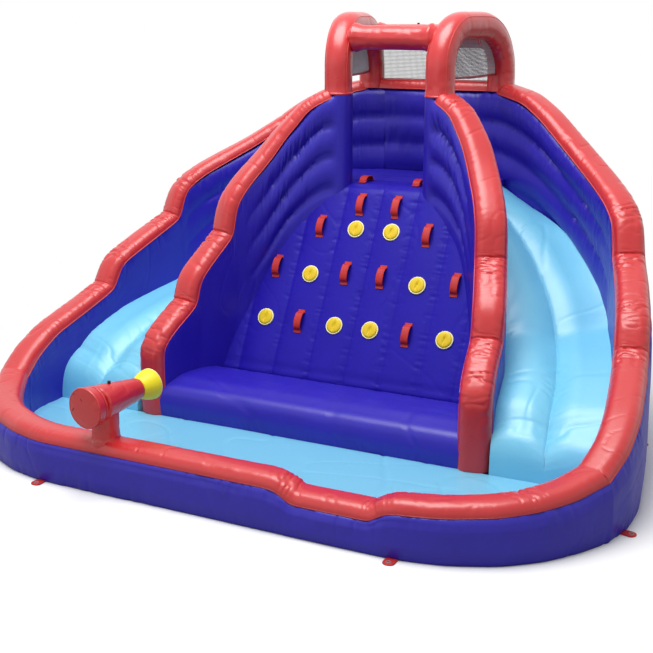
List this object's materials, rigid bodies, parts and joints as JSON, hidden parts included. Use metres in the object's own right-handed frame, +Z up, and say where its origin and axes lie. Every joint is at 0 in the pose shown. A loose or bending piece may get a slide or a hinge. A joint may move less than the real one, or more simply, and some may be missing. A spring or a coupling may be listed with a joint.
{
  "type": "inflatable water slide",
  "caption": "Inflatable water slide with two curved slides round a climbing wall, a splash pool, a platform tower with arches and nets, and a water cannon on a swivel.",
  "frame": {"origin": "middle of the base, on the ground", "axes": "+X to the right seen from the front, +Y to the rear with the tower, the pool and the front face -Y, +Z up"},
  "size_m": [4.0866, 3.3784, 2.5187],
  "materials": {
    "royal_blue_vinyl": "glossy PVC-coated woven fabric, royal blue",
    "red_vinyl": "glossy PVC-coated woven fabric, red",
    "pale_blue_vinyl": "glossy PVC-coated sliding fabric, pale blue",
    "yellow_vinyl": "soft moulded yellow PVC",
    "grey_net": "woven mesh, light grey",
    "black_plastic": "moulded plastic",
    "red_webbing": "woven webbing",
    "white_zip_tape": "woven zip tape"
  },
  "bodies": {
    "slide": {"right_inner_wall": "royal_blue_vinyl", "right_outer_wall": "royal_blue_vinyl", "right_inner_cap": "red_vinyl", "right_outer_cap": "red_vinyl", "right_slide_bed": "pale_blue_vinyl", "right_slide_base": "royal_blue_vinyl", "right_tower_arch": "red_vinyl", "right_side_net": "grey_net", "right_climbing_strap_1": "red_webbing", "right_climbing_strap_2": "red_webbing", "right_climbing_strap_3": "red_webbing", "right_climbing_strap_4": "red_webbing", "right_climbing_strap_5": "red_webbing", "right_climbing_strap_6": "red_webbing", "right_climbing_hold_1": "yellow_vinyl", "right_climbing_hold_2": "yellow_vinyl", "right_climbing_hold_3": "yellow_vinyl", "right_climbing_hold_4": "yellow_vinyl", "left_inner_wall": "royal_blue_vinyl", "left_outer_wall": "royal_blue_vinyl", "left_inner_cap": "red_vinyl", "left_outer_cap": "red_vinyl", "left_slide_bed": "pale_blue_vinyl", "left_slide_base": "royal_blue_vinyl", "left_tower_arch": "red_vinyl", "left_side_net": "grey_net", "left_climbing_strap_1": "red_webbing", "left_climbing_strap_2": "red_webbing", "left_climbing_strap_3": "red_webbing", "left_climbing_strap_4": "red_webbing", "left_climbing_strap_5": "red_webbing", "left_climbing_strap_6": "red_webbing", "left_climbing_hold_1": "yellow_vinyl", "left_climbing_hold_2": "yellow_vinyl", "left_climbing_hold_3": "yellow_vinyl", "left_climbing_hold_4": "yellow_vinyl", "arch_spray_fitting": "black_plastic", "beam_spray_fitting": "black_plastic", "rear_wall": "royal_blue_vinyl", "rear_wall_cap": "red_vinyl", "front_pool_wall": "royal_blue_vinyl", "front_rim_cap": "red_vinyl", "pool_floor": "pale_blue_vinyl", "climbing_wall": "royal_blue_vinyl", "entry_step": "royal_blue_vinyl", "platform_deck": "royal_blue_vinyl", "tower_base": "royal_blue_vinyl", "front_beam": "red_vinyl", "rear_beam": "red_vinyl", "rear_net": "grey_net", "cannon_post": "red_vinyl", "inflation_sleeve": "royal_blue_vinyl", "zip_tape": "white_zip_tape"},
    "cannon_turntable": {"cannon_swivel": "red_vinyl"},
    "cannon": {"cannon_barrel": "red_vinyl", "cannon_rear_cap": "red_vinyl", "cannon_nozzle": "yellow_vinyl", "cannon_hose_elbow": "black_plastic"},
    "zip_pull": {"zip_slider": "black_plastic"}
  },
  "joints": [
    {"name": "cannon_swivel_turn", "type": "hinge", "parent": "slide", "child": "cannon_turntable", "pos_m": [-0.683, -1.5087, 0.33], "axis": [0, 0, 1], "range_deg": [-35, 35]},
    {"name": "cannon_tilt", "type": "hinge", "parent": "cannon_turntable", "child": "cannon", "pos_m": [-0.683, -1.5087, 0.397], "axis": [0.9936, -0.1132, 0], "range_deg": [-8, 12]},
    {"name": "zip_slide", "type": "slide", "parent": "slide", "child": "zip_pull", "axis": [1, 0, 0], "range_m": [0, 0.456]}
  ]
}
